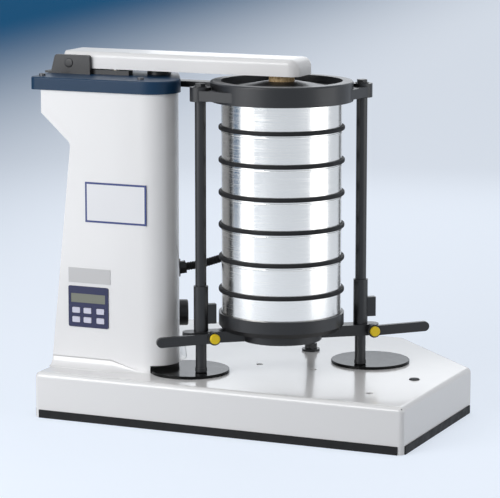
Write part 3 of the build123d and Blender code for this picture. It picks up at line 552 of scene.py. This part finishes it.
def side_foot():
    """The round along the slanted right wall, which grows with the root of the way from the nose."""
    across = (math.cos(WALL_SLANT), math.sin(WALL_SLANT))
    tip_x = NOSE_X + NOSE_RADIUS * across[0]
    tip_y = column_low.y + NOSE_RADIUS + NOSE_RADIUS * across[1]
    run = np.linspace(FOOT_SIDE_START, FOOT_SIDE_END, 40)
    grown = (run - FOOT_SIDE_START + 0.0005) / FOOT_SIDE_FADE
    sizes = FOOT_SIDE_ROUND * np.clip(grown, FOOT_LEAST_SHARE, 1) ** 0.5
    points = np.stack([tip_x - run * across[1], tip_y + run * across[0]], -1)
    foot_round("column_foot_side", points, across, sizes)


# Conduit


def run_along(line):
    """Distance from the line's start to each of its points."""
    lengths = np.linalg.norm(np.diff(line, axis=0), axis=1)
    return np.concatenate([[0], np.cumsum(lengths)])


def rounded_line(corners, step):
    """Points along straight runs joined by arcs, and the length of the line. Each arc starts at a
    share of the shorter run, and its radius is that reach over the tangent of half the turn."""
    parts = [corners[:1]]
    for before, corner, after in zip(corners, corners[1:], corners[2:]):
        a = before - corner
        b = after - corner
        reach = CORNER_SHARE * min(np.linalg.norm(a), np.linalg.norm(b))
        a = a / np.linalg.norm(a)
        b = b / np.linalg.norm(b)
        turn = math.pi - math.acos(np.clip(a @ b, -1, 1))
        radius = reach / math.tan(turn / 2)
        middle = (a + b) / np.linalg.norm(a + b)
        centre = corner + middle * radius / math.cos(turn / 2)
        start = corner + a * reach - centre
        side = -(a - (a @ start) / (start @ start) * start)
        side = side / np.linalg.norm(side) * radius
        angle = np.linspace(0, turn, 24)[:, None]
        parts.append(centre + start * np.cos(angle) + side * np.sin(angle))
    parts.append(corners[-1:])
    line = np.concatenate(parts)
    run = run_along(line)
    even = np.linspace(0, run[-1], int(run[-1] / step) + 1)
    return np.stack([np.interp(even, run, line[:, axis]) for axis in range(3)], -1), run[-1]


def ribbed_tube(name, centres, slot, body):
    """A corrugated tube round a line of centres: its radius swings by the rib's depth with the
    cosine of the distance along it."""
    ahead = np.gradient(centres, axis=0)
    ahead /= np.linalg.norm(ahead, axis=1)[:, None]
    side = np.cross(ahead[0], (0.0, 0.0, 1.0))
    sides = []
    for direction in ahead:
        side = side - (side @ direction) * direction
        side = side / np.linalg.norm(side)
        sides.append(side)
    sides = np.array(sides)
    ups = np.cross(ahead, sides)
    phase = 2 * np.pi * run_along(centres) / RIB_PITCH
    swell = CONDUIT_RADIUS - RIB_DEPTH + RIB_DEPTH * np.cos(phase)
    turn = np.linspace(0, 2 * np.pi, 28, endpoint=False)[None, :, None]
    ring = sides[:, None, :] * np.cos(turn) + ups[:, None, :] * np.sin(turn)
    grid = centres[:, None, :] + ring * swell[:, None, None]
    return surface(name, [grid], slot, body, True)


# All fine pieces, in place
sieve_rings()
pivot_caps()
cover = surface("rear_cover_sheet", [cover_points()], "painted_sheet", "body", True, crease=35)
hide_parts("rear_cover")
heads = surface("cover_screws", screw_points(), "dark_steel", "body", True)
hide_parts("rear_cover_screws")
front_foot()
side_foot()

route = np.array(CONDUIT_ROUTE) / 1000 + np.array([LEFT, FRONT, 0])
first = (route[1] - route[0]) / np.linalg.norm(route[1] - route[0])
route[0] += first * CONDUIT_START_GAP
centres, conduit_length = rounded_line(route, RIB_ROW_STEP)
tube = ribbed_tube("conduit_sleeve", centres, "black_rubber", "body")
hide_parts("conduit")


# Floor, background, lamps and camera


def seen_rays(nodes, links):
    """One where a camera, glossy or transmission ray arrives, and nought elsewhere."""
    rays = nodes.new("ShaderNodeLightPath")
    value = rays.outputs["Is Camera Ray"]
    for kind in ("Is Glossy Ray", "Is Transmission Ray"):
        node = nodes.new("ShaderNodeMath")
        node.operation = "MAXIMUM"
        links.new(value, node.inputs[0])
        links.new(rays.outputs[kind], node.inputs[1])
        value = node.outputs[0]
    return value


def floor_paint():
    """Pale near the object and deep blue far off to the left: the share of blue grows with a sum
    of x and y, each times its own weight."""
    pale = (0.72, 0.78, 0.87)
    deep = (0.003, 0.07, 0.17)
    weight_x = -0.71
    weight_y = -0.125
    blue_start = 0.55
    blue_full = 2.35
    lit_share = 0.5
    glow_strength = 0.76
    paint = Paint("floor_paint", pale, 0.9, shine=0.05)
    x, y, _ = paint.axes()
    way = paint.step("ADD", paint.step("MULTIPLY", x, weight_x), paint.step("MULTIPLY", y, weight_y))
    share = paint.nodes.new("ShaderNodeMapRange")
    share.interpolation_type = "SMOOTHSTEP"
    share.inputs["From Min"].default_value = blue_start
    share.inputs["From Max"].default_value = blue_full
    paint.links.new(way, share.inputs["Value"])
    mixed = paint.mix(share.outputs["Result"], pale, deep)
    lit = paint.nodes.new("ShaderNodeVectorMath")
    lit.operation = "SCALE"
    lit.inputs["Scale"].default_value = lit_share
    paint.links.new(mixed, lit.inputs[0])
    paint.links.new(lit.outputs[0], paint.shader.inputs["Base Color"])
    paint.links.new(mixed, paint.shader.inputs["Emission Color"])
    glow = paint.step("MULTIPLY", seen_rays(paint.nodes, paint.links), glow_strength)
    paint.links.new(glow, paint.shader.inputs["Emission Strength"])
    return paint.material


def lay_floor():
    """A large flat floor just below the foot strips."""
    half = 20
    drop = -0.0005
    corners = [(-half, -half, drop), (half, -half, drop), (half, half, drop), (-half, half, drop)]
    mesh = bpy.data.meshes.new("floor")
    mesh.from_pydata(corners, [], [(0, 1, 2, 3)])
    mesh.materials.append(floor_paint())
    floor = bpy.data.objects.new("floor", mesh)
    bpy.context.collection.objects.link(floor)


def light_world():
    """A dim even light, and a pale sky where it is seen or mirrored."""
    world = bpy.data.worlds.new("world")
    bpy.context.scene.world = world
    world.use_nodes = True
    nodes = world.node_tree.nodes
    links = world.node_tree.links
    nodes.clear()
    light = nodes.new("ShaderNodeBackground")
    light.inputs["Color"].default_value = (1, 0.99, 0.97, 1)
    light.inputs["Strength"].default_value = 0.25
    seen = nodes.new("ShaderNodeBackground")
    seen.inputs["Color"].default_value = (0.76, 0.83, 0.92, 1)
    seen.inputs["Strength"].default_value = 1.0
    chooser = nodes.new("ShaderNodeMixShader")
    output = nodes.new("ShaderNodeOutputWorld")
    links.new(seen_rays(nodes, links), chooser.inputs[0])
    links.new(light.outputs[0], chooser.inputs[1])
    links.new(seen.outputs[0], chooser.inputs[2])
    links.new(chooser.outputs[0], output.inputs[0])


def aim(item, place, target):
    """Puts a lamp or camera at a place, facing a target."""
    item.location = place
    item.rotation_euler = (Vector(target) - Vector(place)).to_track_quat("-Z", "Y").to_euler()
    bpy.context.collection.objects.link(item)


def lamp(name, place, target, size, power):
    """A square soft lamp that the camera doesn't see."""
    data = bpy.data.lights.new(name, "AREA")
    data.size = size
    data.energy = power
    item = bpy.data.objects.new(name, data)
    aim(item, place, target)
    item.visible_camera = False


def place_camera():
    """The camera looks at a point on the object from a turn, a rise and a distance."""
    data = bpy.data.cameras.new("camera")
    data.lens = LENS
    data.sensor_width = SENSOR
    camera = bpy.data.objects.new("camera", data)
    level = math.cos(CAMERA_RISE)
    away = Vector(
        (math.sin(CAMERA_TURN) * level, -math.cos(CAMERA_TURN) * level, math.sin(CAMERA_RISE))
    )
    aim(camera, Vector(LOOK_AT) + away * CAMERA_DISTANCE, LOOK_AT)
    bpy.context.scene.camera = camera


lay_floor()
lamp("key", (-1.05, -2.45, 1.25), (-0.05, 0, 0.3), 1.5, 41)
lamp("fill", (2.5, -0.9, 1.1), (0.05, 0, 0.25), 1.3, 3.5)
lamp("top", (0.1, 0.4, 2.6), (0, 0, 0.3), 1.8, 10)
lamp("rear", (-0.6, 2.4, 1.4), (0, 0, 0.3), 1.6, 9)
lamp("card_right", (1.35, 0.1, 0.35), (0.05, -0.09, 0.3), 0.9, 3.6)
lamp("card_left", (-1.15, -1.25, 0.35), (0.05, -0.09, 0.3), 0.8, 3.6)
light_world()
place_camera()
bpy.context.scene.view_settings.view_transform = "Standard"
